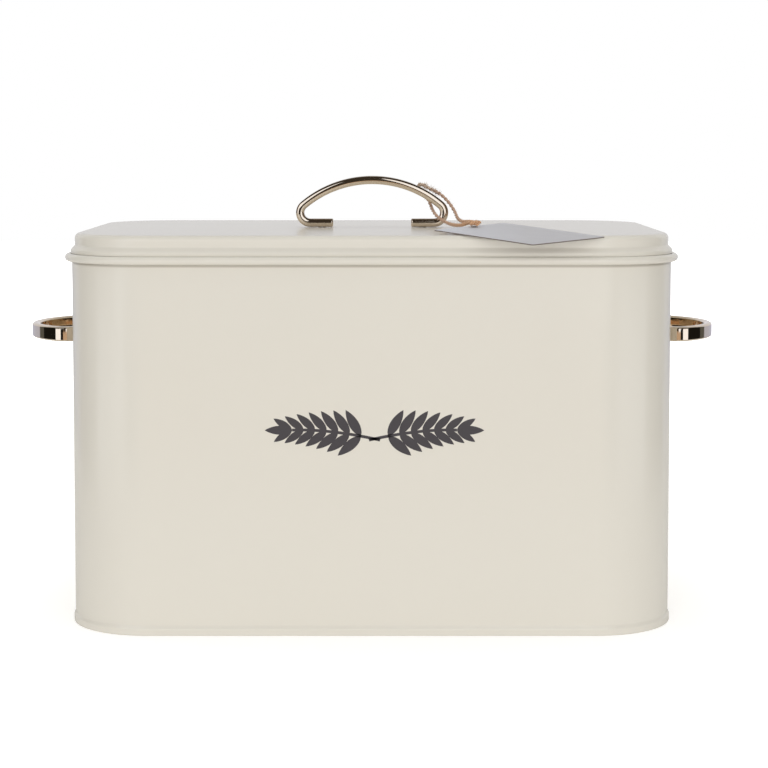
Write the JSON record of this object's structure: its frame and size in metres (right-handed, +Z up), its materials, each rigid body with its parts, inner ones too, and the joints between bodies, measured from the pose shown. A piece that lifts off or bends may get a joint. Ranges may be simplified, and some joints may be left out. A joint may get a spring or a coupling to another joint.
{
  "type": "bread bin",
  "caption": "Oblong enamelled steel bread bin with rounded corners, a lift-off lid, flat-bar bow handles on lid and sides, and a blank swing tag on twine.",
  "frame": {"origin": "middle of the bin's footprint, on the surface that the bin stands on", "axes": "+X along the bin's length, towards its right end; +Z up, along the lid's lift; the front is at -Y"},
  "size_m": [0.3974, 0.2508, 0.2468],
  "materials": {
    "cream_enamel": "smooth glossy cream coat on steel sheet",
    "handle_metal": "polished warm champagne plating",
    "zinc_steel": "zinc-plated steel",
    "tag_card": "matt grey card, blank",
    "jute_twine": "rough natural jute"
  },
  "bodies": {
    "root": {"body_wall": "cream_enamel", "base_pan": "cream_enamel", "side_handle_left": "handle_metal", "side_handle_right": "handle_metal", "side_screw_left_front": "zinc_steel", "side_screw_left_rear": "zinc_steel", "side_screw_right_front": "zinc_steel", "side_screw_right_rear": "zinc_steel", "side_washer_left_front": "zinc_steel", "side_washer_left_rear": "zinc_steel", "side_washer_right_front": "zinc_steel", "side_washer_right_rear": "zinc_steel"},
    "lid": {"lid_shell": "cream_enamel", "lid_collar": "cream_enamel", "lid_handle": "handle_metal", "lid_screw_left": "zinc_steel", "lid_screw_right": "zinc_steel", "lid_washer_left": "zinc_steel", "lid_washer_right": "zinc_steel", "swing_tag": "tag_card", "tag_twine": "jute_twine", "twine_knot": "jute_twine"}
  },
  "joints": [
    {"name": "lid_lift", "type": "slide", "parent": "root", "child": "lid", "axis": [0, 0, 1], "range_m": [0, 0.12]}
  ]
}
